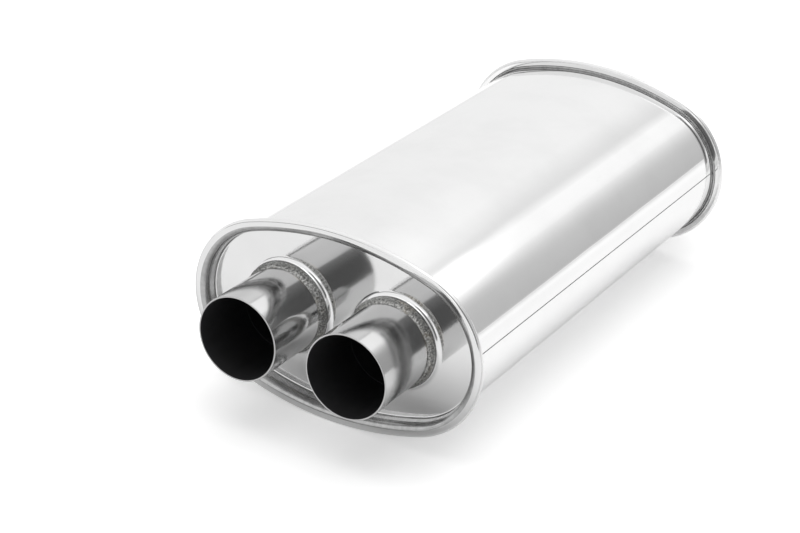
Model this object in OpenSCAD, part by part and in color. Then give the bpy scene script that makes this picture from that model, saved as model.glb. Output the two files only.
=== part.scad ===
// Oval twin-pipe exhaust muffler: a rolled shell closed by two pressed end plates,
// with two straight perforated cores wrapped in wool and packed between two baffles.
// X is the width of the oval, Y its axis (outlets at -Y) and Z is up.
// The origin lies on the resting plane, under the middle of the muffler.

/* [Shell] */
// Width of the oval shell
shell_w = 222; // [200:1:250]
// Height of the oval shell
shell_h = 134; // [118:1:150]
// Radius of the broad top and bottom of the oval
side_r = 221; // [190:1:320]
// Length from rim face to rim face
body_l = 416; // [340:1:560]
// Thickness of the shell sheet
shell_t = 1.2; // [0.9:0.1:1.6]

/* [Lock seam] */
// Height of the seam above the middle of the shell
seam_up = 10; // [-20:1:30]
// Width of the fold on the inside of the seam
fold_w = 9; // [6:0.5:12]
// Thickness of the fold
fold_t = 2.4; // [1.8:0.1:3]
// Width of the line that the seam leaves outside
line_w = 0.6; // [0.3:0.1:1]
// Depth of that line
line_deep = 0.5; // [0.2:0.1:0.7]
// Distance from each flare to the end of the line
line_end = 2; // [1:0.5:12]

/* [Rims] */
// How far the rims stand out from the shell
rim_out = 7.5; // [6:0.5:11]
// Radius of the flare from the shell into its rim
flare_r = 3; // [2:0.25:3.5]
// Clearance between the folded sheets
sheet_gap = 0.15; // [0.1:0.05:0.25]

/* [End plates] */
// Thickness of the end plate sheet
plate_t = 1.5; // [1.2:0.1:2]
// Depth of the plate below the rim face
recess = 11.7; // [10.5:0.1:20]
// Radius at the foot of the recess
foot_r = 2.5; // [1.5:0.25:3]

/* [Pipes] */
// Outer diameter of the inlet and outlet pipes
pipe_d = 63.5; // [51:0.5:66]
// Wall of the pipes
pipe_t = 1.2; // [1:0.1:2]
// Distance between the two pipe axes
pipe_pitch = 88; // [84:1:96]
// How far the pipes stand out past the rim face
pipe_out = 54; // [30:1:90]
// Length of the pipes behind the end plate
pipe_in = 26; // [18:1:40]
// How much smaller the radius of the pipe is from its weld inwards
pipe_step = 0.5; // [0.4:0.1:0.8]

/* [Pipe collars] */
// Height of the drawn collar above the end plate
collar_h = 8.2; // [7:0.1:10]
// Radius at the root of the collar
collar_root_r = 4.5; // [2:0.5:5]
// Clearance between collar and pipe
collar_gap = 0.15; // [0.1:0.05:0.3]

/* [Weld beads] */
// Radius of the round face of the bead
bead_r = 2; // [1.8:0.1:3]
// Distance of the bead centre from the pipe
bead_off = 0.56; // [0.4:0.08:0.96]

/* [Perforated cores] */
// Wall of the core tube
core_t = 1; // [0.8:0.1:1.5]
// Clearance between the core and the pipe inside it
core_gap = 0.15; // [0.1:0.05:0.3]
// Length of the core over the end of each pipe
core_lap = 18; // [10:1:24]
// Diameter of the perforations
hole_d = 6; // [4:0.5:8]
// Perforations in each ring
holes_round = 8; // [6:1:12]
// Distance between rings of perforations
hole_pitch = 16; // [11:0.5:24]
// Plain tube left at each pipe and baffle
plain_l = 5; // [4:0.5:12]

/* [Baffles] */
// Thickness of the baffle sheet
baffle_t = 1.2; // [1:0.1:2]
// Length of the middle chamber
middle_l = 134; // [100:1:170]
// Length of the baffle flange
flange_l = 14; // [9:0.5:18]
// Bend radius of the baffles
bend_r = 3; // [1.5:0.25:4]
// Length of the baffle collars
grip_l = 10; // [8:0.5:14]
// Clearance between baffle and shell, and between baffle and core
baffle_gap = 0.15; // [0.1:0.05:0.3]

/* [Packing] */
// Packing left between the two wool sleeves
sleeve_web = 5; // [3:0.5:8]
// Clearance round the wool and the packing
pack_gap = 0.3; // [0.2:0.05:0.5]

/* [Hidden] */
$fn = 96;

// The oval: two end arcs that run into two broad side arcs
half_w = shell_w / 2;
half_h = shell_h / 2;
end_r = (2 * side_r * half_h - half_w * half_w - half_h * half_h) / (2 * (side_r - half_w));
end_x = half_w - end_r;
side_y = side_r - half_h;

// Folded sheets at the rims
curl_r = plate_t + sheet_gap + shell_t / 2;
flange_y = plate_t + sheet_gap;
flare_y = flange_y + shell_t + flare_r;
wall_x = -shell_t - sheet_gap - plate_t;
floor_in = recess + plate_t;
foot = [wall_x - foot_r, foot_r - recess];

// Seam angles, measured round the centre of the right-hand end arc
seam_a = asin(seam_up / end_r);
function arc_angle(width, radius) = width / radius * 180 / PI;

// Pipes, welds, collars and cores
pipe_r = pipe_d / 2;
neck_r = pipe_r - pipe_step;
collar_r = neck_r + collar_gap + plate_t;
lip_y = recess - collar_h;
shoulder_y = lip_y - sqrt(bead_r * bead_r - bead_off * bead_off);
core_r = neck_r + core_gap + core_t;
pipe_end_z = body_l / 2 - floor_in - pipe_in;
core_z = pipe_end_z + core_lap;

// Baffles and chambers
baffle_x = -shell_t - baffle_gap;
corner = [baffle_x - baffle_t - bend_r, baffle_t + bend_r];
grip_r = core_r + baffle_gap + baffle_t;
baffle_z = middle_l / 2;
chamber_z = baffle_z + baffle_t;
chamber_end_z = body_l / 2 - floor_in;
wool_r = pipe_pitch / 2 - sleeve_web / 2;

// Rings of perforations, left out where a baffle grips the core
hole_z = pipe_end_z - plain_l - hole_d / 2;
hole_rings = floor(hole_z / hole_pitch);
grip_from = baffle_z - plain_l - hole_d / 2;
grip_to = baffle_z + grip_l + plain_l + hole_d / 2;

// Larger than anything that is cut
big = 2 * (shell_w + body_l);

// Turns the model, built with its axis along Z and its outlets up, into its resting place
module lay() {
    translate([0, 0, half_h + rim_out]) rotate([90, 0, 0]) children();
}

// Puts a shape built below Z = 0 at the front end, or its mirror image at the rear end
module at_end(front) {
    mirror([0, 0, front ? 0 : 1]) translate([0, 0, body_l / 2]) children();
}

// Keeps what lies between two lines that leave the end centres of the oval
module between(corners) {
    intersection() {
        children();
        translate([0, 0, -big]) linear_extrude(2 * big) polygon(corners);
    }
}

// Puts one shape round each end arc of the oval and another round each side arc
module on_arcs() {
    far = [3 * end_x, 2 * side_y];
    for (turn = [0, 180]) rotate(turn) {
        between([[end_x, 0], [far.x, -far.y], far])
            translate([end_x, 0, 0]) let($arc_r = end_r) children();
        between([[end_x, 0], far, [-far.x, far.y], [-end_x, 0]])
            translate([0, -side_y, 0]) let($arc_r = side_r) children();
    }
}

// Runs a section round the oval: X is the offset from the outside of the shell
module round_oval() {
    on_arcs() rotate_extrude() translate([$arc_r, 0]) children();
}

// A filled oval, offset from the outside of the shell
module oval_slab(offset, z_from, z_to) {
    on_arcs() translate([0, 0, z_from]) cylinder(r = $arc_r + offset, h = z_to - z_from);
}

// A quarter of a bend in a sheet; toward gives the corner's direction from its centre
module bend(centre, inside_r, thick, toward) {
    translate(centre) intersection() {
        difference() {
            circle(inside_r + thick);
            circle(inside_r);
        }
        strip([0, 0], (inside_r + thick + 1) * toward);
    }
}

// A straight stretch of sheet between two corners of a rectangle
module strip(from, to) {
    translate([min(from.x, to.x), min(from.y, to.y)])
        square([abs(to.x - from.x), abs(to.y - from.y)]);
}

// Part of the shell's right-hand end, as wide as width, between two offsets
module seam_sector(width, offset_in, offset_out, z_from, z_to) {
    span = arc_angle(width, end_r);
    translate([end_x, 0, 0])
        rotate_extrude(angle = span, start = seam_a - span / 2)
            strip([end_r + offset_in, z_from], [end_r + offset_out, z_to]);
}

module seam_fold(clear = 0) {
    long = body_l / 2 - floor_in - 1 + clear;
    seam_sector(fold_w + 2 * clear, -shell_t - fold_t - clear, -shell_t + (clear > 0 ? shell_t : 0),
        -long, long);
}

// The shell's half section at the front end, from the flare out to its flange
module shell_flare_section() {
    bend([flare_r, -flare_y], flare_r, shell_t, [-1, 1]);
    strip([flare_r, -flange_y], [rim_out - curl_r, -flange_y - shell_t]);
}

module shell() {
    line_z = body_l / 2 - flare_y - line_end;
    color("gainsboro") lay() {
        difference() {
            round_oval() strip([-shell_t, flare_y - body_l / 2], [0, body_l / 2 - flare_y]);
            seam_sector(line_w, -line_deep, 1, -line_z, line_z);
        }
        seam_fold();
        for (front = [true, false]) at_end(front) round_oval() shell_flare_section();
    }
}

// Section of an end plate from its curled rim down to the edge of its floor
module end_plate_section() {
    curl_x = rim_out - curl_r;
    intersection() {
        translate([curl_x, -curl_r]) difference() {
            circle(curl_r);
            circle(curl_r - plate_t);
        }
        strip([curl_x, 0], [rim_out, -2 * curl_r]);
    }
    strip([flare_r + sheet_gap, -2 * curl_r], [curl_x, plate_t - 2 * curl_r]);
    strip([flare_r, 0], [curl_x, -plate_t]);
    bend([flare_r, -flare_y], flare_y - plate_t, plate_t, [-1, 1]);
    strip([wall_x, -flare_y], [wall_x + plate_t, foot.y]);
    bend(foot, foot_r, plate_t, [1, -1]);
}

// A collar drawn up out of a sheet, from its root to its lip
module collar_section(outer_r, thick, root_r, sheet_y, height) {
    bend([outer_r + root_r, sheet_y + root_r], root_r, thick, [-1, -1]);
    strip([outer_r - thick, sheet_y + root_r], [outer_r, sheet_y + height]);
}

module at_pipe(side) {
    translate([side * pipe_pitch / 2, 0, 0]) children();
}

module end_plate(front) {
    color("silver") lay() at_end(front) {
        round_oval() end_plate_section();
        difference() {
            oval_slab(foot.x, -floor_in, -recess);
            for (side = [-1, 1])
                at_pipe(side) translate([0, 0, -floor_in - 1])
                    cylinder(r = collar_r + collar_root_r, h = plate_t + 2);
        }
        for (side = [-1, 1])
            at_pipe(side) rotate_extrude()
                collar_section(collar_r, plate_t, collar_root_r, -recess, collar_h);
    }
}

// A tube of the pipe's wall, between two heights
module pipe_wall(outer_r, y_from, y_to) {
    translate([0, 0, y_from]) difference() {
        cylinder(r = outer_r, h = y_to - y_from);
        translate([0, 0, -1]) cylinder(r = outer_r - pipe_t, h = y_to - y_from + 2);
    }
}

module pipe_stub(front, side) {
    color("lightgray") lay() at_end(front) at_pipe(side) {
        pipe_wall(pipe_r, -shoulder_y, pipe_out);
        pipe_wall(neck_r, -floor_in - pipe_in, -shoulder_y);
    }
}

// The bead fills the corner between the pipe's shoulder and the lip of its collar
module weld_bead(front, side) {
    centre_r = pipe_r + bead_off;
    color("darkgray") lay() at_end(front) at_pipe(side) rotate_extrude() {
        intersection() {
            translate([centre_r, -lip_y]) circle(bead_r);
            strip([pipe_r, 0], [centre_r + bead_r, -lip_y]);
        }
        strip([neck_r, -shoulder_y], [centre_r, -lip_y]);
    }
}

module core(side) {
    color("gray") lay() at_pipe(side) difference() {
        translate([0, 0, -core_z]) cylinder(r = core_r, h = 2 * core_z);
        translate([0, 0, -core_z - 1]) cylinder(r = core_r - core_t, h = 2 * core_z + 2);
        for (ring = [-hole_rings:hole_rings])
            if (abs(ring * hole_pitch) < grip_from || abs(ring * hole_pitch) > grip_to)
                for (hole = [0:holes_round - 1])
                    translate([0, 0, ring * hole_pitch])
                        rotate((hole + (ring % 2 == 0 ? 0 : 0.5)) * 360 / holes_round)
                            translate([core_r - core_t - 1, 0, 0]) rotate([0, 90, 0])
                                cylinder(d = hole_d, h = core_t + 2, $fn = 24);
    }
}

// Section of a baffle from its flange down to the edge of its sheet, just above Z = 0
module baffle_section() {
    strip([baffle_x - baffle_t, corner.y], [baffle_x, flange_l]);
    bend(corner, bend_r, baffle_t, [1, -1]);
}

module baffle(front) {
    color("silver") lay() mirror([0, 0, front ? 0 : 1]) {
        difference() {
            translate([0, 0, baffle_z]) {
                round_oval() baffle_section();
                oval_slab(corner.x, 0, baffle_t);
            }
            for (side = [-1, 1])
                at_pipe(side) translate([0, 0, baffle_z - 1])
                    cylinder(r = grip_r + bend_r, h = baffle_t + 2);
            seam_fold(clear = pack_gap);
        }
        for (side = [-1, 1])
            at_pipe(side) translate([0, 0, baffle_z]) rotate_extrude()
                collar_section(grip_r, baffle_t, bend_r, baffle_t, grip_l - baffle_t);
    }
}

// Wool between a baffle and an end plate, opened out round the baffle's collar and the core
module wool_end(front, side) {
    from = chamber_z + pack_gap;
    to = chamber_end_z - pack_gap;
    relief_z = baffle_z + grip_l + pack_gap;
    color("dimgray") lay() mirror([0, 0, front ? 0 : 1]) at_pipe(side) difference() {
        translate([0, 0, from]) cylinder(r = wool_r, h = to - from);
        cylinder(r = neck_r + pack_gap, h = body_l);
        cylinder(r = core_r + pack_gap, h = core_z + pack_gap);
        cylinder(r = grip_r + bend_r + pack_gap, h = relief_z);
    }
}

module wool_middle(side) {
    long = middle_l - 2 * pack_gap;
    color("dimgray") lay() at_pipe(side) difference() {
        translate([0, 0, -long / 2]) cylinder(r = wool_r, h = long);
        translate([0, 0, -long]) cylinder(r = core_r + pack_gap, h = 2 * long);
    }
}

// Packing fills the oval round the two wool sleeves and past the seam fold
module packing_round() {
    color("palegoldenrod") lay() difference() {
        children();
        for (side = [-1, 1])
            at_pipe(side) translate([0, 0, -body_l]) cylinder(r = wool_r + pack_gap, h = 2 * body_l);
        seam_fold(clear = pack_gap);
    }
}

module packing_end(front) {
    inner_x = baffle_x - baffle_t - pack_gap;
    from = chamber_z + pack_gap;
    past_z = baffle_z + flange_l + pack_gap;
    packing_round() mirror([0, 0, front ? 0 : 1]) {
        oval_slab(inner_x - bend_r, from, from + bend_r);
        oval_slab(inner_x, from + bend_r, past_z);
        oval_slab(-shell_t - pack_gap, past_z, chamber_end_z - pack_gap);
    }
}

module packing_middle() {
    long = middle_l - 2 * pack_gap;
    packing_round() oval_slab(-shell_t - pack_gap, -long / 2, long / 2);
}

shell();
end_plate(true);  // front_end_plate
end_plate(false);  // rear_end_plate
pipe_stub(true, -1);  // outlet_pipe_left
pipe_stub(true, 1);  // outlet_pipe_right
pipe_stub(false, -1);  // inlet_pipe_left
pipe_stub(false, 1);  // inlet_pipe_right
weld_bead(true, -1);  // outlet_weld_left
weld_bead(true, 1);  // outlet_weld_right
weld_bead(false, -1);  // inlet_weld_left
weld_bead(false, 1);  // inlet_weld_right
core(-1);  // core_left
core(1);  // core_right
baffle(true);  // front_baffle
baffle(false);  // rear_baffle
wool_end(true, -1);  // wool_front_left
wool_end(true, 1);  // wool_front_right
wool_middle(-1);  // wool_middle_left
wool_middle(1);  // wool_middle_right
wool_end(false, -1);  // wool_rear_left
wool_end(false, 1);  // wool_rear_right
packing_end(true);  // packing_front
packing_middle();
packing_end(false);  // packing_rear
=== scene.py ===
"""Oval twin-pipe muffler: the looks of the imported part, in polished stainless sheet, tube and weld."""

import math
import bmesh
import bpy
from bpy.props import FloatProperty, FloatVectorProperty, IntProperty, PointerProperty
from mathutils import Matrix, Vector, noise


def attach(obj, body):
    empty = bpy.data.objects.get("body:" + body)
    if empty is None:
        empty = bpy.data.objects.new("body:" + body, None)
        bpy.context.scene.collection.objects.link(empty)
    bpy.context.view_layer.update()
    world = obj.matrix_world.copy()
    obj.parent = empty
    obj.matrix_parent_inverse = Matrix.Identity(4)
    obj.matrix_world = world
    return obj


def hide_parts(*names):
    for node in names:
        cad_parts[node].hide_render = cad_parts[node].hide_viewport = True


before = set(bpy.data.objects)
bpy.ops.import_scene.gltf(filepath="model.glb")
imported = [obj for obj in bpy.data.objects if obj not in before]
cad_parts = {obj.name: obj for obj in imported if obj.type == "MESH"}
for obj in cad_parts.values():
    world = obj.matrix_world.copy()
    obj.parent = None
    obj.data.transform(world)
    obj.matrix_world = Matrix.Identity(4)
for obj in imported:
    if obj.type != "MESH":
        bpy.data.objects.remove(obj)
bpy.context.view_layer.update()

bl_info = {
    "name": "Oval Muffler",
    "version": (1, 0, 0),
    "blender": (4, 5, 0),
    "location": "View3D > Sidebar > Muffler",
    "description": "Builds the polished shell, end plates, pipes and welds of an oval muffler",
    "category": "Object",
}

SIDES = {"left": -1, "right": 1}
ENDS = {"front": -1, "rear": 1}
PIPE_NAMES = {"front": "outlet", "rear": "inlet"}

# In metres: points this close are one, slack for picking faces by their place, flat strip between a bend and the
# floor of an end plate, and half the width of the stage's floor
TOUCH = 0.000001
HAIR = 0.0001
FLAT = 0.0006
FLOOR_REACH = 8

# Sweep steps: degrees on the oval's end and side arcs, steps round a collar, a pipe and one ripple of a bead,
# and steps across a bead's face
END_STEP, SIDE_STEP = 1.9, 0.8
COLLAR_STEPS, PIPE_STEPS, RIPPLE_STEPS, BEAD_STEPS = 144, 128, 10, 22

# Width of the sloped edge of the lock seam's line, as a share of the line
SEAM_SLOPE = 0.12

# Noise on a weld bead, in waves a metre: its swellings, its ragged edges, and the coarse and fine skin
SWELLING, RAGGED, COARSE, FINE = 140, 420, 750, 1700


def length(name, description, default):
    """A size in metres."""
    return FloatProperty(
        name=name, description=description, default=default, subtype="DISTANCE", unit="LENGTH", precision=5)


def fraction(name, description, default):
    """A number from 0 to 1."""
    return FloatProperty(name=name, description=description, default=default, min=0, max=1, subtype="FACTOR")


def colour(name, description, default):
    """A linear colour."""
    return FloatVectorProperty(
        name=name, description=description, default=default, min=0, max=1, subtype="COLOR")


class MufflerSizes(bpy.types.PropertyGroup):
    """Sizes of the visible metal. Folds, lips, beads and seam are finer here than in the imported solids."""

    half_l: length("Half length", "From the middle of the muffler to a rim face", 0.208)
    end_x: length("End centre", "From the middle to the centre of an end arc", 0.0528)
    end_r: length("End radius", "Radius of the end arcs of the shell", 0.0582)
    side_y: length("Side centre", "From the axis to the centre of a broad arc", 0.154)
    axis_z: length("Axis height", "Height of the axis above the resting plane", 0.0745)
    shell_t: length("Shell sheet", "Thickness of the shell", 0.0012)
    fold_r: length("Fold radius", "Radius from the shell's outside into its flange", 0.0016)
    flare_r: length("Flare radius", "Radius with which an end plate turns from its recess into its rim", 0.003)
    flange_e: length("Flange reach", "From the shell's outside to the centre of the curled rim", 0.00525)
    curl_r: length("Curl radius", "Radius of the rim rolled over the shell's flange", 0.00225)
    plate_t: length("Plate sheet", "Thickness of the end plates", 0.0015)
    recess: length("Recess", "Depth of the end plate below its rim face", 0.0117)
    foot_r: length("Foot radius", "Radius at the foot of the recess", 0.0012)
    lip_e: length("Lip", "From the shell's outside to the edge of the folded lip", 0.0016)
    # Lip line: width of a band on the lip's edge that is painted dark as the shade in the gap under it
    lip_shade_w: length("Lip line", "Width of the dark, sheared edge of the folded lip", 0.0006)
    pipe_x: length("Pipe offset", "From the middle to a pipe's axis", 0.044)
    pipe_r: length("Pipe radius", "Outer radius of the pipes", 0.03175)
    pipe_t: length("Pipe wall", "Wall of the pipes", 0.0012)
    pipe_step: length("Pipe step", "How much smaller a pipe's radius is inside the can", 0.0005)
    pipe_out: length("Pipe reach", "How far a pipe stands out past the rim face", 0.054)
    pipe_in: length("Pipe inside", "Depth of a pipe's inner end behind the rim face", 0.0392)
    mouth_r: length("Mouth radius", "Radius on the edges of a pipe's open end", 0.00035)
    shoulder: length("Shoulder depth", "Depth of a pipe's shoulder behind the rim face", 0.00158)
    collar_r: length("Collar radius", "Outer radius of the drawn collars", 0.0329)
    collar_root_r: length("Collar root", "Radius at the root of a collar", 0.0045)
    lip_depth: length("Collar lip", "Depth of a collar's lip behind the rim face", 0.0035)
    bead_from: length("Bead start", "Depth behind the rim face at which the weld bead leaves the pipe", 0.0013)
    bead_to: length("Bead end", "Depth behind the rim face at which the weld bead meets the collar", 0.0094)
    bead_rise: length("Bead rise", "How far outside the collar the weld bead ends", 0.0006)
    bead_h: length("Bead height", "Height of the bead's round face above the line between its edges", 0.0015)
    seam_up: length("Seam height", "Height of the lock seam above the axis", 0.010)
    seam_w: length("Seam line", "Width of the line that the lock seam leaves", 0.0009)
    seam_deep: length("Seam depth", "Depth of that line", 0.0005)
    seam_end: length("Seam end", "From the front rim face to the end of the line", 0.00785)
    seam_rear: length("Seam rear end", "From the rear rim face to the end of the line", 0.0048)
    ripples: IntProperty(name="Ripples", description="Ripples round each weld bead", default=70, min=12, max=160)
    ripple_h: length("Ripple height", "Height of the ripples on a weld bead", 0.00035)
    rough_h: length("Roughness height", "Height of the rough skin on a weld bead", 0.00030)
    swell_h: length("Swell height", "Height of a weld bead's slow swellings", 0.0004)
    ragged: length("Ragged edge", "How far a weld bead's edges stray", 0.0006)


class MufflerFinish(bpy.types.PropertyGroup):
    """Colours and polish of the metals and the filling."""

    sheet: colour("Sheet", "Polished stainless sheet", (0.88, 0.88, 0.88))
    tube: colour("Tube", "Polished stainless tube", (0.56, 0.56, 0.56))
    bead: colour("Bead", "Weld bead", (0.44, 0.44, 0.43))
    straw: colour("Straw tint", "Heat tint beside the welds", (0.56, 0.43, 0.25))
    # Bore: near black, painted shade inside the pipes
    bore_shade: colour("Bore", "Inside of the pipes", (0.10, 0.10, 0.105))
    mill: colour("Mill steel", "Cores and baffles", (0.42, 0.42, 0.425))
    wool: colour("Wool", "Stainless wool on the cores", (0.20, 0.20, 0.21))
    fibre: colour("Fibre", "Glass fibre packing", (0.72, 0.64, 0.42))
    # Drawn sheet: its dark grey is painted shade on the recess wall
    drawn: colour("Drawn sheet", "Wall of the end plates' recess", (0.50, 0.50, 0.50))
    # Painted shade with a little polish residue: near black for the seam's line and the folded lips' edges, standing
    # in for their shade
    gap: colour("Gap", "Bottom of the lock seam's line, and sheared edge of the folded lips", (0.035, 0.035, 0.035))
    polish: fraction("Polish", "Roughness of the polished sheet", 0.05)
    tube_polish: fraction("Tube polish", "Roughness of the polished tube", 0.10)
    grain: fraction("Grain", "Strength of the fine polishing lines", 0.10)


class MufflerStage(bpy.types.PropertyGroup):
    """Camera, floor and light."""

    eye: FloatVectorProperty(
        name="Camera place", description="Where the camera stands", subtype="TRANSLATION", unit="LENGTH",
        default=(0.674669, -1.344264, 0.770253), precision=6)
    turn: FloatVectorProperty(
        name="Camera turn", description="XYZ rotation of the camera in degrees",
        default=(63.9514, -3.8249, 30.6834), precision=4)
    lens: FloatProperty(
        name="Lens", description="Focal length in mm on a 36 mm wide frame", default=96.264, min=10, max=400)
    floor: colour("Floor", "Colour of the floor", (0.92, 0.92, 0.92))
    glow: fraction("Glow", "What the camera sees the floor lifted by, near the muffler", 0.34)
    far_glow: fraction("Far glow", "The same, far from the muffler", 0.75)
    mirrored_glow: fraction("Mirrored glow", "Share of that light which the muffler mirrors", 0.45)
    # Shade: a painted shadow on the floor before the pipes, seen only in the metal's reflections
    shade: fraction("Shade", "How much darker the muffler mirrors the floor under its pipes", 0.30)
    front_edge: length("Front edge", "From the middle of the muffler to the floor's front edge", 0.85)
    lamp_w: FloatProperty(
        name="Lamp power", description="Power of the lamp overhead", default=30, min=0, subtype="POWER", unit="POWER")
    lamp_place: FloatVectorProperty(
        name="Lamp place", description="Where the lamp hangs", subtype="TRANSLATION", unit="LENGTH",
        default=(-0.1, 0.1, 2.2))
    lamp_size: length("Lamp size", "Width of the round lamp", 2.8)
    sky: FloatProperty(
        name="Sky", description="Strength of the even light from all round", default=0.58, min=0, max=2)


class Wire:
    """A shader socket that takes part in Python expressions."""

    def __init__(self, board, socket):
        self.board = board
        self.socket = socket

    def _math(self, operation, *others):
        return self.board.node("ShaderNodeMath", {"operation": operation}, *others)

    def __add__(self, other):
        return self._math("ADD", self, other)

    def __radd__(self, other):
        return self._math("ADD", other, self)

    def __sub__(self, other):
        return self._math("SUBTRACT", self, other)

    def __rsub__(self, other):
        return self._math("SUBTRACT", other, self)

    def __mul__(self, other):
        return self._math("MULTIPLY", self, other)

    def __rmul__(self, other):
        return self._math("MULTIPLY", other, self)

    def __truediv__(self, other):
        return self._math("DIVIDE", self, other)

    def __rtruediv__(self, other):
        return self._math("DIVIDE", other, self)

    def __pow__(self, other):
        return self._math("POWER", self, other)

    def __rpow__(self, other):
        return self._math("POWER", other, self)

    def __abs__(self):
        return self._math("ABSOLUTE", self)


class Board:
    """One material's or world's node tree, cleared and ready to be wired."""

    def __init__(self, tree):
        self.tree = tree
        tree.nodes.clear()

    def node(self, kind, settings=None, *values, out=0, **named):
        """Adds a node, sets its settings first and then its sockets, and gives the named output as a Wire."""
        made = self.tree.nodes.new(kind)
        for key, value in (settings or {}).items():
            if key == "stops":
                self._stops(made.color_ramp, value)
            else:
                setattr(made, key, value)
        for place, value in list(enumerate(values)) + list(named.items()):
            self.join(made, place, value)
        return Wire(self, made.outputs[out]) if made.outputs else made

    def join(self, made, place, value):
        """Puts a value or a link on one socket, named by its number or by its name with _ for a space."""
        socket = made.inputs[place.replace("_", " ") if isinstance(place, str) else place]
        if isinstance(value, Wire):
            self.tree.links.new(value.socket, socket)
        elif value is not None:
            socket.default_value = value

    def _stops(self, ramp, stops):
        while len(ramp.elements) > 1:
            ramp.elements.remove(ramp.elements[-1])
        ramp.elements[0].position, ramp.elements[0].color = stops[0]
        for place, tint in stops[1:]:
            ramp.elements.new(place).color = tint

    def place(self, shift=(0, 0, 0), scale=(1, 1, 1)):
        """Object coordinates in metres, shifted and then scaled."""
        spot = self.node("ShaderNodeTexCoord", out="Object")
        moved = self.node("ShaderNodeVectorMath", {"operation": "ADD"}, spot, shift)
        return self.node("ShaderNodeVectorMath", {"operation": "MULTIPLY"}, moved, scale)

    def parts(self, vector):
        """The X, Y and Z of a vector."""
        split = self.node("ShaderNodeSeparateXYZ", None, vector).socket.node
        return [Wire(self, out) for out in split.outputs]

    def rays(self):
        """Whether a ray comes from the camera, from gloss or through glass."""
        path = self.node("ShaderNodeLightPath").socket.node
        return [Wire(self, path.outputs[f"Is {kind} Ray"]) for kind in ("Camera", "Glossy", "Transmission")]

    def noise(self, scale, detail=3.0, rough=0.5):
        """Soft noise from 0 to 1 over the object. A scale for each axis draws it out into lines."""
        vector = self.place(scale=scale if isinstance(scale, tuple) else (scale, scale, scale))
        return self.node("ShaderNodeTexNoise", Vector=vector, Scale=1.0, Detail=detail, Roughness=rough)

    def rise(self, value, low, high, first=0.0, last=1.0):
        """Maps low..high smoothly to first..last, held at both ends."""
        smooth = {"interpolation_type": "SMOOTHSTEP"}
        return self.node("ShaderNodeMapRange", smooth, value, low, high, first, last)

    def fall(self, value, low, high):
        """Maps low..high smoothly to 1..0, held at both ends."""
        return self.rise(value, low, high, 1.0, 0.0)

    def bump(self, height, strength, distance, over=None):
        """A bump of a distance in metres, laid over another one where that is given."""
        return self.node("ShaderNodeBump", Strength=strength, Distance=distance, Height=height, Normal=over)

    def blend(self, factor, first, second):
        """Mixes two colours."""
        made = self.node("ShaderNodeMix", {"data_type": "RGBA"}).socket.node
        for place, value in ((0, factor), (6, first), (7, second)):
            if isinstance(value, Wire):
                self.tree.links.new(value.socket, made.inputs[place])
            else:
                made.inputs[place].default_value = value
        return Wire(self, made.outputs[2])


def rgba(colour3, gain=1.0):
    """A linear colour with full alpha."""
    return (colour3[0] * gain, colour3[1] * gain, colour3[2] * gain, 1.0)


def new_material(name):
    """An empty material and its board."""
    made = bpy.data.materials.new(name)
    made.use_nodes = True
    return made, Board(made.node_tree)


def finish_material(board, **sockets):
    """Ends a material in one Principled shader."""
    board.node("ShaderNodeOutputMaterial", Surface=board.node("ShaderNodeBsdfPrincipled", **sockets))


def polished(name, tint, polish, grain, along, tint_rings=None):
    """Polished stainless steel, with fine lines along one axis, a slow waviness and faint smudges."""
    made, board = new_material(name)
    lines = board.noise(tuple(9 if axis == along else 900 for axis in "XYZ"), detail=2)
    cloudy = board.rise(board.noise(24, detail=4, rough=0.55), 0.35, 0.75)
    wave = board.noise(16, detail=1, rough=0.4)
    base = board.blend(cloudy, rgba(tint), rgba(tint, 0.965))
    if tint_rings:
        base = tint_rings(board, base)
    rough = polish + 0.5 * polish * cloudy + 0.35 * polish * lines
    bump = board.bump(lines, grain, 0.00002, over=board.bump(wave, 0.30, 0.0006))
    finish_material(board, Base_Color=base, Metallic=1.0, Roughness=rough, Normal=bump)
    return made


def weld_heat(sizes, finish):
    """Adds straw heat tint to a colour in rings about the two pipe axes, next to the welds at both ends."""

    def rings(board, base):
        x, y, z = board.parts(board.place(shift=(0, 0, -sizes.axis_z)))
        across = abs(abs(x) - sizes.pipe_x)
        radius = (across * across + z * z) ** 0.5
        depth = abs(abs(y) - (sizes.half_l - sizes.lip_depth))
        near = board.fall(depth, 0.0010, 0.0055)
        close = board.fall(radius, sizes.collar_r + 0.0006, sizes.collar_r + 0.0036)
        amount = near * close * board.rise(board.noise(60), 0.45, 0.75) * 0.3
        return board.blend(amount, base, rgba(finish.straw))

    return rings


def sheet_material(finish):
    """Sheet of the shell."""
    return polished("polished_sheet", finish.sheet, finish.polish, finish.grain, "Y")


def plate_material(sizes, finish):
    """Sheet of the end plates, pressed after polishing."""
    return polished("pressed_sheet", finish.sheet, finish.polish * 1.15, finish.grain, "X", weld_heat(sizes, finish))


def tube_material(sizes, finish):
    """Outside of the pipes."""
    return polished("polished_tube", finish.tube, finish.tube_polish, finish.grain, "Y", weld_heat(sizes, finish))


def bead_material(finish):
    """Weld metal: grey and speckled, with a rough skin and a little straw heat tint in patches."""
    made, board = new_material("weld_metal")
    patches = board.rise(board.noise(70, detail=4, rough=0.6), 0.52, 0.74)
    skin = board.noise(1500, rough=0.65)
    pits = board.rise(board.noise(850, detail=2), 0.38, 0.64)
    base = board.blend(pits, rgba(finish.bead, 0.5), rgba(finish.bead, 1.25))
    base = board.blend(patches * 0.22, base, rgba(finish.straw, 0.9))
    bump = board.bump(skin, 0.8, 0.0003)
    finish_material(board, Base_Color=base, Metallic=1.0, Roughness=0.20 + 0.25 * skin, Normal=bump)
    return made


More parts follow.
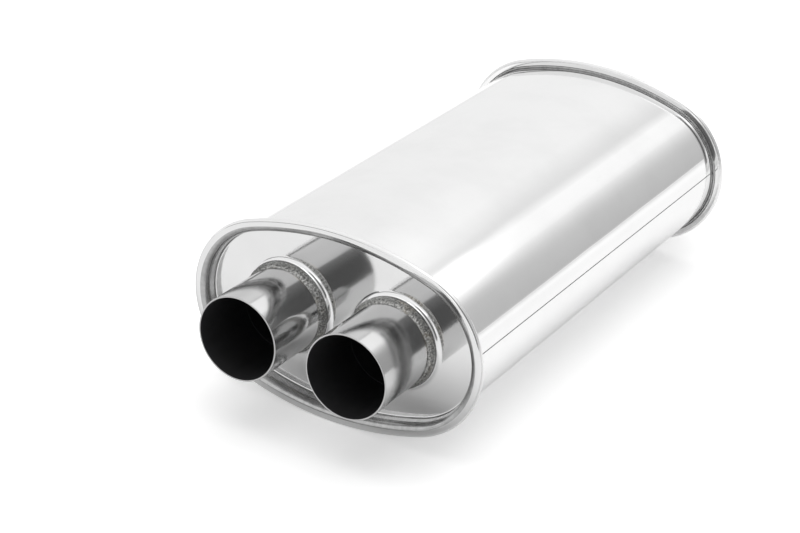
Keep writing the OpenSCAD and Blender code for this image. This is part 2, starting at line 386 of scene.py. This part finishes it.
def bore_shade_material(finish):
    """The unpolished, dry inside of a pipe, painted near black as the shade inside it, with faint drawn lines."""
    made, board = new_material("pipe_bore_shade")
    lines = board.noise((300, 12, 300), detail=2)
    base = board.blend(board.noise(35), rgba(finish.bore_shade), rgba(finish.bore_shade, 0.55))
    bump = board.bump(lines, 0.25, 0.00008)
    finish_material(board, Base_Color=base, Metallic=0.85, Roughness=0.42 + 0.2 * lines, Normal=bump)
    return made


def shade_and_residue_material(finish):
    """Painted shade with dried polish in it: near black on the bottom of the lock seam's line and on a folded lip's
    edge, where shade falls in those crevices.
    """
    made, board = new_material("seam_shade_and_residue")
    dust = board.noise((900, 60, 900))
    base = board.blend(dust, rgba(finish.gap), rgba(finish.gap, 2.2))
    finish_material(board, Base_Color=base, Metallic=0.3, Roughness=0.55 + 0.3 * dust)
    return made


def rolled_material(finish):
    """The rolled rim: a satin sheen from the rollers, with fine lines along it."""
    made, board = new_material("rolled_rim")
    lines = board.noise((60, 2600, 60), detail=2, rough=0.6)
    base = board.blend(lines, rgba(finish.sheet, 1.05), rgba(finish.sheet, 0.86))
    rough = 0.22 + 0.12 * board.noise(40)
    finish_material(board, Base_Color=base, Metallic=1.0, Roughness=rough, Normal=board.bump(lines, 0.3, 0.00005))
    return made


def drawn_and_shaded_material(finish):
    """The drawn wall of the recess: less polished than the rest of the plate, with fine draw lines round it; its
    darker grey is painted shade.
    """
    made, board = new_material("drawn_and_shaded_sheet")
    lines = board.noise((40, 1500, 40), rough=0.6)
    streaks = board.noise((260, 90, 260), detail=2)
    base = board.blend(streaks, rgba(finish.drawn, 1.25), rgba(finish.drawn, 0.7))
    bump = board.bump(lines, 0.25, 0.00005)
    finish_material(board, Base_Color=base, Metallic=1.0, Roughness=0.12 + 0.12 * lines, Normal=bump)
    return made


def mill_material(finish):
    """Mill-finish sheet of the cores and baffles: grey, with rolling lines and a mottled sheen."""
    made, board = new_material("mill_steel")
    mottle = board.noise(90, detail=4, rough=0.6)
    base = board.blend(mottle, rgba(finish.mill), rgba(finish.mill, 0.72))
    bump = board.bump(board.noise((600, 14, 600)), 0.3, 0.00006)
    finish_material(board, Base_Color=base, Metallic=1.0, Roughness=0.34 + 0.22 * mottle, Normal=bump)
    return made


def fibre_material(name, tint, metallic, wrap, rough):
    """Fibres wound or pressed together: strands of two widths over a slow lumpiness."""
    made, board = new_material(name)
    strands = board.noise(wrap, detail=5, rough=0.65)
    base = board.blend(board.rise(strands, 0.32, 0.62), rgba(tint, 0.35), rgba(tint))
    bump = board.bump(strands * 0.7 + board.noise(55) * 0.5, 0.9, 0.0011)
    finish_material(board, Base_Color=base, Metallic=metallic, Roughness=rough, Normal=bump)
    return made


class Section:
    """The edge of a sheet's section, drawn by one moving vertex. X is the distance outwards, Y the depth."""

    def __init__(self, bm, start):
        self.bm = bm
        self.first = self.tip = bmesh.ops.create_vert(bm, co=(*start, 0))["vert"][0]

    def run(self, *stops):
        """Straight stretches to each stop."""
        for stop in stops:
            grown = bmesh.ops.extrude_vert_indiv(self.bm, verts=[self.tip])
            self.tip = grown["verts"][0]
            self.tip.co = (*stop, 0)
        return self

    def bend(self, centre, degrees, steps):
        """A round bend about a centre, anticlockwise for positive degrees."""
        spun = bmesh.ops.spin(
            self.bm, geom=[self.tip], cent=(*centre, 0), axis=(0, 0, 1), angle=math.radians(degrees), steps=steps)
        self.tip = next(part for part in spun["geom_last"] if isinstance(part, bmesh.types.BMVert))
        return self

    def close(self):
        """An edge back to the start."""
        self.bm.edges.new((self.tip, self.first))
        return self


def all_of(bm):
    """Every vertex, edge and face."""
    return bm.verts[:] + bm.edges[:] + bm.faces[:]


def merge_close(bm):
    """Merges the vertices that a sweep leaves on top of each other."""
    bmesh.ops.remove_doubles(bm, verts=bm.verts[:], dist=TOUCH)


def turn_to_rear(bm):
    """Mirrors a piece of the front end to the rear end."""
    bmesh.ops.scale(bm, vec=(1, -1, 1), verts=bm.verts[:])


def round_oval(bm, sizes, stops=()):
    """Sweeps the section round the four arcs of the oval. Stops are degrees on the right-hand end arc to halt at."""
    tangent = math.degrees(math.atan2(sizes.side_y, sizes.end_x))
    right = Vector((sizes.end_x, 0, sizes.axis_z))
    bmesh.ops.translate(bm, vec=(sizes.end_r, 0, 0), verts=bm.verts[:])
    turn = Matrix.Rotation(math.radians(tangent), 3, "Y")
    bmesh.ops.rotate(bm, cent=(0, 0, 0), matrix=turn, verts=bm.verts[:])
    bmesh.ops.translate(bm, vec=right, verts=bm.verts[:])
    geom = all_of(bm)
    marks = [-tangent, *stops, tangent]
    arcs = [(right, high - low, END_STEP) for low, high in zip(marks, marks[1:])]
    arcs += [
        (Vector((0, 0, sizes.axis_z - sizes.side_y)), 180 - 2 * tangent, SIDE_STEP),
        (Vector((-sizes.end_x, 0, sizes.axis_z)), 2 * tangent, END_STEP),
        (Vector((0, 0, sizes.axis_z + sizes.side_y)), 180 - 2 * tangent, SIDE_STEP),
    ]
    for centre, degrees, step in arcs:
        steps = max(1, math.ceil(degrees / step))
        spun = bmesh.ops.spin(bm, geom=geom, cent=centre, axis=(0, -1, 0), angle=math.radians(degrees), steps=steps)
        geom = spun["geom_last"]
    merge_close(bm)


def round_pipe(bm, sizes, side, steps):
    """Sweeps the section once round a pipe's axis."""
    bmesh.ops.spin(
        bm, geom=all_of(bm), cent=(0, 0, 0), axis=(0, -1, 0), angle=2 * math.pi, steps=steps, use_merge=True)
    merge_close(bm)
    bmesh.ops.translate(bm, vec=(side * sizes.pipe_x, 0, sizes.axis_z), verts=bm.verts[:])


def make_piece(bm, name, materials, nodes, sharp=32):
    """Makes a bmesh a piece: smooth between its sharp edges, with its materials and body, in place of its CAD nodes.
    """
    bmesh.ops.recalc_face_normals(bm, faces=bm.faces[:])
    for face in bm.faces:
        face.smooth = True
    for edge in bm.edges:
        edge.smooth = len(edge.link_faces) == 2 and edge.calc_face_angle(0) < math.radians(sharp)
    mesh = bpy.data.meshes.new(name)
    bm.to_mesh(mesh)
    bm.free()
    made = bpy.data.objects.new(name, mesh)
    bpy.context.scene.collection.objects.link(made)
    for material in materials:
        mesh.materials.append(material)
    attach(made, "root")
    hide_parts(*nodes)


def dress_node(name, material):
    """Gives a CAD node its material."""
    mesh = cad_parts[name].data
    mesh.materials.clear()
    mesh.materials.append(material)


def shell_section(bm, s):
    """The shell's whole section, with a flare and a flange at each end, drawn from the front flange."""
    flange = s.curl_r - s.shell_t / 2
    back = flange + s.shell_t
    fold = back + s.fold_r
    rim = 2 * s.half_l
    pen = Section(bm, (s.flange_e, back)).run((s.fold_r, back)).bend((s.fold_r, fold), -90, 10)
    pen.run((0, s.seam_end), (0, rim - s.seam_rear), (0, rim - fold)).bend((s.fold_r, rim - fold), -90, 10)
    pen.run((s.flange_e, rim - back), (s.flange_e, rim - flange), (s.fold_r, rim - flange))
    pen.bend((s.fold_r, rim - fold), 90, 10).run((-s.shell_t, fold)).bend((s.fold_r, fold), 90, 10)
    pen.run((s.flange_e, flange)).close()
    bmesh.ops.translate(bm, vec=(0, -s.half_l, 0), verts=bm.verts[:])


def press_seam(bm, s, low, high):
    """Presses the line of the lock seam into the outside of the shell, with soft edges."""
    centre = Vector((s.end_x, 0, s.axis_z))
    strip = []
    for face in bm.faces:
        spot = face.calc_center_median() - centre
        angle = math.degrees(math.atan2(spot.z, spot.x))
        outside = math.hypot(spot.x, spot.z) > s.end_r - s.shell_t / 4
        if low < angle < high and outside and s.seam_end - s.half_l < spot.y < s.half_l - s.seam_rear:
            strip.append(face)
    bmesh.ops.inset_region(
        bm, faces=strip, thickness=s.seam_w * SEAM_SLOPE, depth=0, use_even_offset=True, use_boundary=True)
    grown = bmesh.ops.extrude_face_region(bm, geom=strip)
    sunk = [part for part in grown["geom"] if isinstance(part, bmesh.types.BMVert)]
    bmesh.ops.delete(bm, geom=strip, context="FACES")
    middle = math.radians((low + high) / 2)
    bmesh.ops.translate(bm, vec=-s.seam_deep * Vector((math.cos(middle), 0, math.sin(middle))), verts=sunk)
    # The line's faces take the dark material: painted shade in the line, with polish residue
    for vert in sunk:
        for face in vert.link_faces:
            face.material_index = 1


def dress_faces(bm, s, index, depths, offsets):
    """Gives a material to the faces within a range of depths behind the nearer rim and of offsets from the shell."""
    for face in bm.faces:
        spot = face.calc_center_median()
        if depths[0] < s.half_l - abs(spot.y) < depths[1] and offsets[0] < offset_out(s, spot) < offsets[1]:
            face.material_index = index


def offset_out(s, spot):
    """How far a point stands outwards from the outside of the shell's oval."""
    x, z = abs(spot.x), abs(spot.z - s.axis_z)
    if z * s.end_x < (x - s.end_x) * s.side_y:
        return math.hypot(x - s.end_x, z) - s.end_r
    return math.hypot(x, z + s.side_y) - math.hypot(s.end_x, s.side_y) - s.end_r


def plate_section(bm, s):
    """An end plate's section from its floor, over the rim and back under it."""
    wall = -(s.curl_r + s.shell_t / 2)
    flare = s.curl_r + s.shell_t / 2 + s.flare_r
    foot = (wall - s.foot_r, s.recess - s.foot_r)
    curl = (s.flange_e, s.curl_r)
    under = 2 * s.curl_r
    pen = Section(bm, (foot[0] - FLAT, s.recess)).run((foot[0], s.recess)).bend(foot, -90, 8)
    pen.run((wall, flare)).bend((s.flare_r, flare), 90, 12).run((s.flange_e, 0)).bend(curl, 180, 16)
    pen.run((s.lip_e + s.lip_shade_w, under), (s.lip_e, under - 2 * HAIR), (s.lip_e, under - s.plate_t))
    pen.run((s.flange_e, under - s.plate_t))
    pen.bend(curl, -180, 10).run((s.flare_r, s.plate_t)).bend((s.flare_r, flare), -90, 10)
    pen.run((wall + s.plate_t, foot[1])).bend(foot, 90, 8).run((foot[0] - FLAT, s.recess + s.plate_t))


def collar_section(bm, s):
    """A drawn collar's section, from the floor up to its lip and back down inside."""
    root = (s.collar_r + s.collar_root_r, s.recess - s.collar_root_r)
    inside = s.collar_r - s.plate_t
    pen = Section(bm, (root[0] + FLAT, s.recess)).run((root[0], s.recess)).bend(root, 90, 12)
    pen.run((s.collar_r, s.lip_depth), (inside, s.lip_depth), (inside, root[1])).bend(root, -90, 10)
    pen.run((root[0] + FLAT, s.recess + s.plate_t))


def add_mesh(bm, other):
    """Adds another bmesh to this one and frees it."""
    carrier = bpy.data.meshes.new("carrier")
    other.to_mesh(carrier)
    other.free()
    bm.from_mesh(carrier)
    bpy.data.meshes.remove(carrier)


def fill_floor(bm, depth_y):
    """Fills the flat floor between the oval rim and the two collars, at one depth."""
    edges = [
        edge for edge in bm.edges
        if edge.is_boundary and all(abs(vert.co.y - depth_y) < TOUCH for vert in edge.verts)]
    bmesh.ops.triangle_fill(bm, edges=edges, use_beauty=True, use_dissolve=False, normal=(0, -1, 0))


def end_plate(s, end):
    """One whole end plate as a bmesh."""
    bm = bmesh.new()
    plate_section(bm, s)
    bmesh.ops.translate(bm, vec=(0, -s.half_l, 0), verts=bm.verts[:])
    round_oval(bm, s)
    for side in SIDES.values():
        collar = bmesh.new()
        collar_section(collar, s)
        bmesh.ops.translate(collar, vec=(0, -s.half_l, 0), verts=collar.verts[:])
        round_pipe(collar, s, side, COLLAR_STEPS)
        add_mesh(bm, collar)
    fill_floor(bm, s.recess - s.half_l)
    fill_floor(bm, s.recess + s.plate_t - s.half_l)
    if end > 0:
        turn_to_rear(bm)
    return bm


def pipe_wall(s, end, side):
    """One pipe: a thin lip with rounded edges, its shoulder under the weld and its end inside the can."""
    bm = bmesh.new()
    inner = s.pipe_r - s.pipe_t
    neck = s.pipe_r - s.pipe_step
    mouth = s.mouth_r - s.pipe_out
    pen = Section(bm, (s.pipe_r, s.shoulder)).run((s.pipe_r, mouth)).bend((s.pipe_r - s.mouth_r, mouth), -90, 5)
    pen.run((inner + s.mouth_r, -s.pipe_out)).bend((inner + s.mouth_r, mouth), -90, 5)
    pen.run((inner, s.shoulder), (neck - s.pipe_t, s.shoulder), (neck - s.pipe_t, s.pipe_in))
    pen.run((neck, s.pipe_in), (neck, s.shoulder)).close()
    bmesh.ops.translate(bm, vec=(0, -s.half_l, 0), verts=bm.verts[:])
    round_pipe(bm, s, side, PIPE_STEPS)
    # The faces inside the bore take the near-black material: painted shade
    limit = inner + HAIR
    for face in bm.faces:
        spot = face.calc_center_median()
        face.material_index = int(math.hypot(spot.x - side * s.pipe_x, spot.z - s.axis_z) < limit)
    if end > 0:
        turn_to_rear(bm)
    return bm


def weld_bead(s, end, side):
    """One bead: a low, broad run of weld from the pipe over the collar's lip, rippled, rough and ragged."""
    bm = bmesh.new()
    start, stop = Vector((s.pipe_r, s.bead_from)), Vector((s.collar_r + s.bead_rise, s.bead_to))
    chord = stop - start
    radius = chord.length_squared / (8 * s.bead_h) + s.bead_h / 2
    outward = Vector((chord.y, -chord.x)).normalized()
    centre = (start + stop) / 2 - (radius - s.bead_h) * outward
    half = math.asin(chord.length / 2 / radius)
    neck = s.pipe_r - s.pipe_step
    pen = Section(bm, start).bend(centre, math.degrees(2 * half), BEAD_STEPS)
    pen.run((s.collar_r - s.plate_t / 2, s.bead_to), (s.collar_r - s.plate_t / 2, s.lip_depth), (neck, s.lip_depth))
    pen.run((neck, s.shoulder), (s.pipe_r - HAIR, s.shoulder)).close()
    bmesh.ops.translate(bm, vec=(0, -s.half_l, 0), verts=bm.verts[:])
    round_pipe(bm, s, side, s.ripples * RIPPLE_STEPS)
    axis = Vector((side * s.pipe_x, 0, s.axis_z))
    for vert in bm.verts:
        spot = vert.co - axis
        wide = math.hypot(spot.x, spot.z)
        away = Vector((wide, spot.y + s.half_l)) - centre
        if abs(away.length - radius) > 0.2 * HAIR:
            continue
        lean = outward.angle_signed(away)
        inward = math.cos(lean / half * math.pi / 2)
        angle = math.atan2(spot.z, spot.x)
        slow = noise.noise(vert.co * SWELLING)
        ripple = abs(math.sin((angle + 0.5 * inward / s.ripples + 0.02 * slow) * s.ripples / 2)) - 0.6
        rough = noise.noise(vert.co * COARSE) + 0.6 * noise.noise(vert.co * FINE)
        lift = inward * (s.ripple_h * ripple + s.rough_h * rough + s.swell_h * slow)
        slide = s.ragged * (slow + 0.7 * noise.noise(vert.co * RAGGED)) * (1 - inward)
        away *= 1 + lift / radius
        grown = (centre.x + away.x) / wide
        depth = centre.y + away.y + slide
        vert.co = Vector((axis.x + spot.x * grown, depth - s.half_l, axis.z + spot.z * grown))
    if end > 0:
        turn_to_rear(bm)
    return bm


class MUFFLER_OT_shell(bpy.types.Operator):
    """Builds the rolled shell with its flares, flanges and lock seam"""

    bl_idname = "muffler.shell"
    bl_label = "Shell"

    def execute(self, context):
        s = context.scene.muffler_sizes
        bm = bmesh.new()
        shell_section(bm, s)
        seam = math.degrees(math.asin(s.seam_up / s.end_r))
        half = math.degrees(s.seam_w / s.end_r / 2)
        round_oval(bm, s, (seam - half, seam + half))
        press_seam(bm, s, seam - half, seam + half)
        finish = context.scene.muffler_finish
        make_piece(bm, "rolled_shell", [sheet_material(finish), shade_and_residue_material(finish)], ["shell"])
        return {"FINISHED"}


class MUFFLER_OT_end_plates(bpy.types.Operator):
    """Builds the pressed plate at each end, rolled over the shell's flange, with its two collars"""

    bl_idname = "muffler.end_plates"
    bl_label = "End plates"

    def execute(self, context):
        s = context.scene.muffler_sizes
        finish = context.scene.muffler_finish
        materials = [
            plate_material(s, finish), rolled_material(finish), drawn_and_shaded_material(finish), shade_and_residue_material(finish)]
        rolled, drawn, gap = range(1, len(materials))
        under = 2 * s.curl_r
        for name, end in ENDS.items():
            bm = end_plate(s, end)
            # The recess wall takes the darker material: painted shade in the recess
            dress_faces(bm, s, drawn, (HAIR, s.recess - 2 * HAIR), (-2 * s.flare_r, s.flare_r - 2 * HAIR))
            dress_faces(bm, s, rolled, (0.3 * s.curl_r, under - HAIR), (s.flange_e, s.flange_e + under))
            # The lip's edge band takes the dark material: painted shade in the gap between lip and flange
            dress_faces(bm, s, gap, (under - 3 * HAIR, under + HAIR), (s.lip_e - HAIR, s.lip_e + s.lip_shade_w))
            make_piece(bm, name + "_plate", materials, [name + "_end_plate"])
        return {"FINISHED"}


class MUFFLER_OT_pipes(bpy.types.Operator):
    """Builds the four pipes with their rounded lips and bores painted dark as shade"""

    bl_idname = "muffler.pipes"
    bl_label = "Pipes"

    def execute(self, context):
        s = context.scene.muffler_sizes
        finish = context.scene.muffler_finish
        materials = [tube_material(s, finish), bore_shade_material(finish)]
        for name, end in ENDS.items():
            for side_name, side in SIDES.items():
                port = PIPE_NAMES[name]
                made, node = f"{port}_tube_{side_name}", f"{port}_pipe_{side_name}"
                make_piece(pipe_wall(s, end, side), made, materials, [node])
        return {"FINISHED"}


class MUFFLER_OT_welds(bpy.types.Operator):
    """Lays the rippled weld bead round each pipe"""

    bl_idname = "muffler.welds"
    bl_label = "Welds"

    def execute(self, context):
        s = context.scene.muffler_sizes
        material = bead_material(context.scene.muffler_finish)
        for name, end in ENDS.items():
            for side_name, side in SIDES.items():
                port = PIPE_NAMES[name]
                made, node = f"{port}_bead_{side_name}", f"{port}_weld_{side_name}"
                make_piece(weld_bead(s, end, side), made, [material], [node], sharp=70)
        return {"FINISHED"}


class MUFFLER_OT_inside(bpy.types.Operator):
    """Gives the cores, baffles, wool and packing their finishes"""

    bl_idname = "muffler.inside"
    bl_label = "Inside"

    def execute(self, context):
        finish = context.scene.muffler_finish
        mill = mill_material(finish)
        wool = fibre_material("steel_wool", finish.wool, 0.8, (260, 900, 260), 0.5)
        fibre = fibre_material("glass_fibre", finish.fibre, 0.0, (420, 160, 420), 0.85)
        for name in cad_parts:
            if name.startswith("core") or name.endswith("baffle"):
                dress_node(name, mill)
            elif name.startswith("wool"):
                dress_node(name, wool)
            elif name.startswith("packing"):
                dress_node(name, fibre)
        return {"FINISHED"}


# Brightness that the metal sees round the long axis, by the angle above +X as a share of a half turn.
# The soft edge of the light above lies aslant, so steep and flat views along the axis have a list each.
BEHIND_STEEP = (
    (0.000, 0.55), (0.111, 0.555), (0.200, 0.59), (0.244, 0.67), (0.267, 0.78), (0.289, 0.92), (0.311, 1.06),
    (0.333, 1.25), (0.360, 1.50), (0.535, 1.45), (0.547, 0.92), (0.556, 0.91), (0.574, 1.06), (0.620, 1.10),
    (0.690, 1.03), (0.740, 0.97), (1.000, 0.94),
)
BEHIND_FLAT = (
    (0.000, 0.54), (0.089, 0.575), (0.178, 0.61), (0.222, 0.65), (0.267, 0.73), (0.311, 0.84), (0.339, 0.92),
    (0.361, 1.02), (0.400, 1.08), (0.520, 1.09), (0.540, 0.95), (0.552, 0.84), (0.565, 0.86), (0.600, 0.95),
    (0.625, 1.00), (0.690, 1.00), (0.760, 0.98), (1.000, 0.945),
)
BEFORE = (
    (0.000, 0.13), (0.280, 0.125), (0.400, 0.22), (0.455, 0.28), (0.475, 0.85), (0.600, 0.95), (1.000, 0.92))

# Y of the mirrored direction, from -1 before the muffler to 1 behind it: where the flat list takes over from the
# steep one, and where the list for what lies before it comes in and goes out
FLAT_FROM = (0.790, 0.825)
BEFORE_FROM, BEFORE_TO = (-0.93, -0.88), (-0.70, -0.50)

# Below the horizon: brightness of what lies before the muffler, half way down and at the horizon
LOW_BEFORE, LEVEL_BEFORE = 0.5, 0.2

# Places along the floor, from the middle of the muffler, where the painted shadow that it mirrors comes in and goes
# out, and where the glow that it mirrors comes in. The last pair is how far from the middle the glow grows to the far
# one.
SHADE_FROM, SHADE_TO = (-0.34, -0.24), (-0.20, -0.10)
MIRRORED_FROM = (-0.245, -0.205)
GLOW_GROWS = (0.5, 1.6)


def grey(bright):
    """A grey with full alpha."""
    return (bright, bright, bright, 1)


def grey_stops(pairs):
    """Colour ramp stops in grey."""
    return [(place, grey(bright)) for place, bright in pairs]


def backdrop(board, stage):
    """A matt floor that keeps its shadows, with a painted shadow before the pipes that only the metal mirrors, and
    glows for the camera and, in part, for what mirrors it.
    """
    camera, glossy, clear = board.rays()
    across, along, _ = board.parts(board.place())
    # Painted shadow: the floor before the pipes is darkened for glossy rays only
    shade = stage.shade * glossy * board.rise(along, *SHADE_FROM) * board.fall(along, *SHADE_TO)
    matt = board.node("ShaderNodeBsdfDiffuse", Color=board.blend(shade, rgba(stage.floor), grey(0)))
    away = board.rise((across * across + along * along) ** 0.5, *GLOW_GROWS)
    glow = board.blend(away, grey(stage.glow), grey(stage.far_glow))
    light = board.node("ShaderNodeEmission", Color=glow, Strength=1.0)
    lit = board.node("ShaderNodeAddShader", None, matt, light)
    glowing = camera + clear + stage.mirrored_glow * glossy * board.rise(along, *MIRRORED_FROM)
    board.node("ShaderNodeOutputMaterial", Surface=board.node("ShaderNodeMixShader", None, glowing, matt, lit))


class MUFFLER_OT_stage(bpy.types.Operator):
    """Sets the floor, the light and the camera"""

    bl_idname = "muffler.stage"
    bl_label = "Stage"

    def execute(self, context):
        stage = context.scene.muffler_stage
        self.add_floor(context.scene, stage)
        self.add_world(context.scene, stage)
        self.add_lamp(context.scene, stage)
        self.add_camera(context.scene, stage)
        context.scene.view_settings.view_transform = "Standard"
        return {"FINISHED"}

    def add_floor(self, scene, stage):
        """A wide floor that ends some way in front of the muffler."""
        bm = bmesh.new()
        bmesh.ops.create_grid(bm, x_segments=2, y_segments=2, size=FLOOR_REACH)
        bmesh.ops.translate(bm, vec=(0, FLOOR_REACH - stage.front_edge, 0), verts=bm.verts[:])
        mesh = bpy.data.meshes.new("floor")
        bm.to_mesh(mesh)
        bm.free()
        floor = bpy.data.objects.new("floor", mesh)
        scene.collection.objects.link(floor)
        material, board = new_material("floor")
        backdrop(board, stage)
        mesh.materials.append(material)

    def add_world(self, scene, stage):
        """White for the camera. What the metal sees changes with the angle round the muffler's long axis."""
        world = bpy.data.worlds.new("studio")
        world.use_nodes = True
        scene.world = world
        board = Board(world.node_tree)
        x, y, z = board.parts(board.node("ShaderNodeTexCoord", out="Generated"))
        round_axis = board.node("ShaderNodeMath", {"operation": "ARCTAN2"}, z, x) / math.pi
        steep, flat, before = (
            board.node("ShaderNodeValToRGB", {"stops": grey_stops(pairs)}, round_axis)
            for pairs in (BEHIND_STEEP, BEHIND_FLAT, BEFORE))
        behind = board.blend(board.rise(y, *FLAT_FROM), steep, flat)
        forward = board.fall(y, *BEFORE_TO) * board.rise(y, *BEFORE_FROM)
        above = board.blend(forward, behind, before)
        near_floor = board.blend(board.rise(z, -0.5, 0.0), grey(LOW_BEFORE), grey(LEVEL_BEFORE))
        below = board.blend(forward, grey(1), near_floor)
        seen = board.blend(board.rise(z, -0.01, 0.01), below, above)
        camera, glossy, clear = board.rays()
        soft = board.node("ShaderNodeBackground", Color=grey(1), Strength=stage.sky)
        white = board.node("ShaderNodeBackground", Color=grey(1), Strength=1.0)
        mirrored = board.node("ShaderNodeBackground", Color=seen, Strength=1.0)
        shown = board.node("ShaderNodeMixShader", None, camera + clear, soft, white)
        whole = board.node("ShaderNodeMixShader", None, glossy, shown, mirrored)
        board.node("ShaderNodeOutputWorld", Surface=whole)

    def add_lamp(self, scene, stage):
        """A broad round lamp above the muffler, aimed at its middle and not mirrored by it."""
        lamp = bpy.data.lights.new("overhead", "AREA")
        lamp.shape = "DISK"
        lamp.size = stage.lamp_size
        lamp.energy = stage.lamp_w
        made = bpy.data.objects.new("overhead", lamp)
        made.location = stage.lamp_place
        made.rotation_euler = (-Vector(stage.lamp_place)).to_track_quat("-Z", "Y").to_euler()
        made.visible_glossy = False
        scene.collection.objects.link(made)

    def add_camera(self, scene, stage):
        """The camera, as fitted to the edges of the real muffler."""
        data = bpy.data.cameras.new("camera")
        data.lens = stage.lens
        data.sensor_width = 36
        made = bpy.data.objects.new("camera", data)
        made.location = stage.eye
        made.rotation_euler = [math.radians(angle) for angle in stage.turn]
        scene.collection.objects.link(made)
        scene.camera = made


class MUFFLER_PT_panel(bpy.types.Panel):
    """Lists the muffler's sizes, finishes and operators"""

    bl_idname = "MUFFLER_PT_panel"
    bl_label = "Muffler"
    bl_space_type = "VIEW_3D"
    bl_region_type = "UI"
    bl_category = "Muffler"

    def draw(self, context):
        """A button for each operator, and the values of each group."""
        for operator in OPERATORS:
            self.layout.operator(operator.bl_idname)
        for group in (context.scene.muffler_sizes, context.scene.muffler_finish, context.scene.muffler_stage):
            box = self.layout.box()
            for name in group.__annotations__:
                box.prop(group, name)


OPERATORS = (
    MUFFLER_OT_shell, MUFFLER_OT_end_plates, MUFFLER_OT_pipes, MUFFLER_OT_welds, MUFFLER_OT_inside, MUFFLER_OT_stage)
GROUPS = {"muffler_sizes": MufflerSizes, "muffler_finish": MufflerFinish, "muffler_stage": MufflerStage}


def register():
    """Registers the classes and hangs the sizes, finishes and stage on the scene."""
    for made in (*GROUPS.values(), *OPERATORS, MUFFLER_PT_panel):
        bpy.utils.register_class(made)
    for name, group in GROUPS.items():
        setattr(bpy.types.Scene, name, PointerProperty(type=group))


def unregister():
    """Undoes what register did."""
    for name in GROUPS:
        delattr(bpy.types.Scene, name)
    for made in (MUFFLER_PT_panel, *reversed(OPERATORS), *reversed(GROUPS.values())):
        bpy.utils.unregister_class(made)


def main():
    """Builds every piece and the stage."""
    register()
    for operator in OPERATORS:
        group, name = operator.bl_idname.split(".")
        getattr(getattr(bpy.ops, group), name)()


if __name__ == "__main__":
    main()
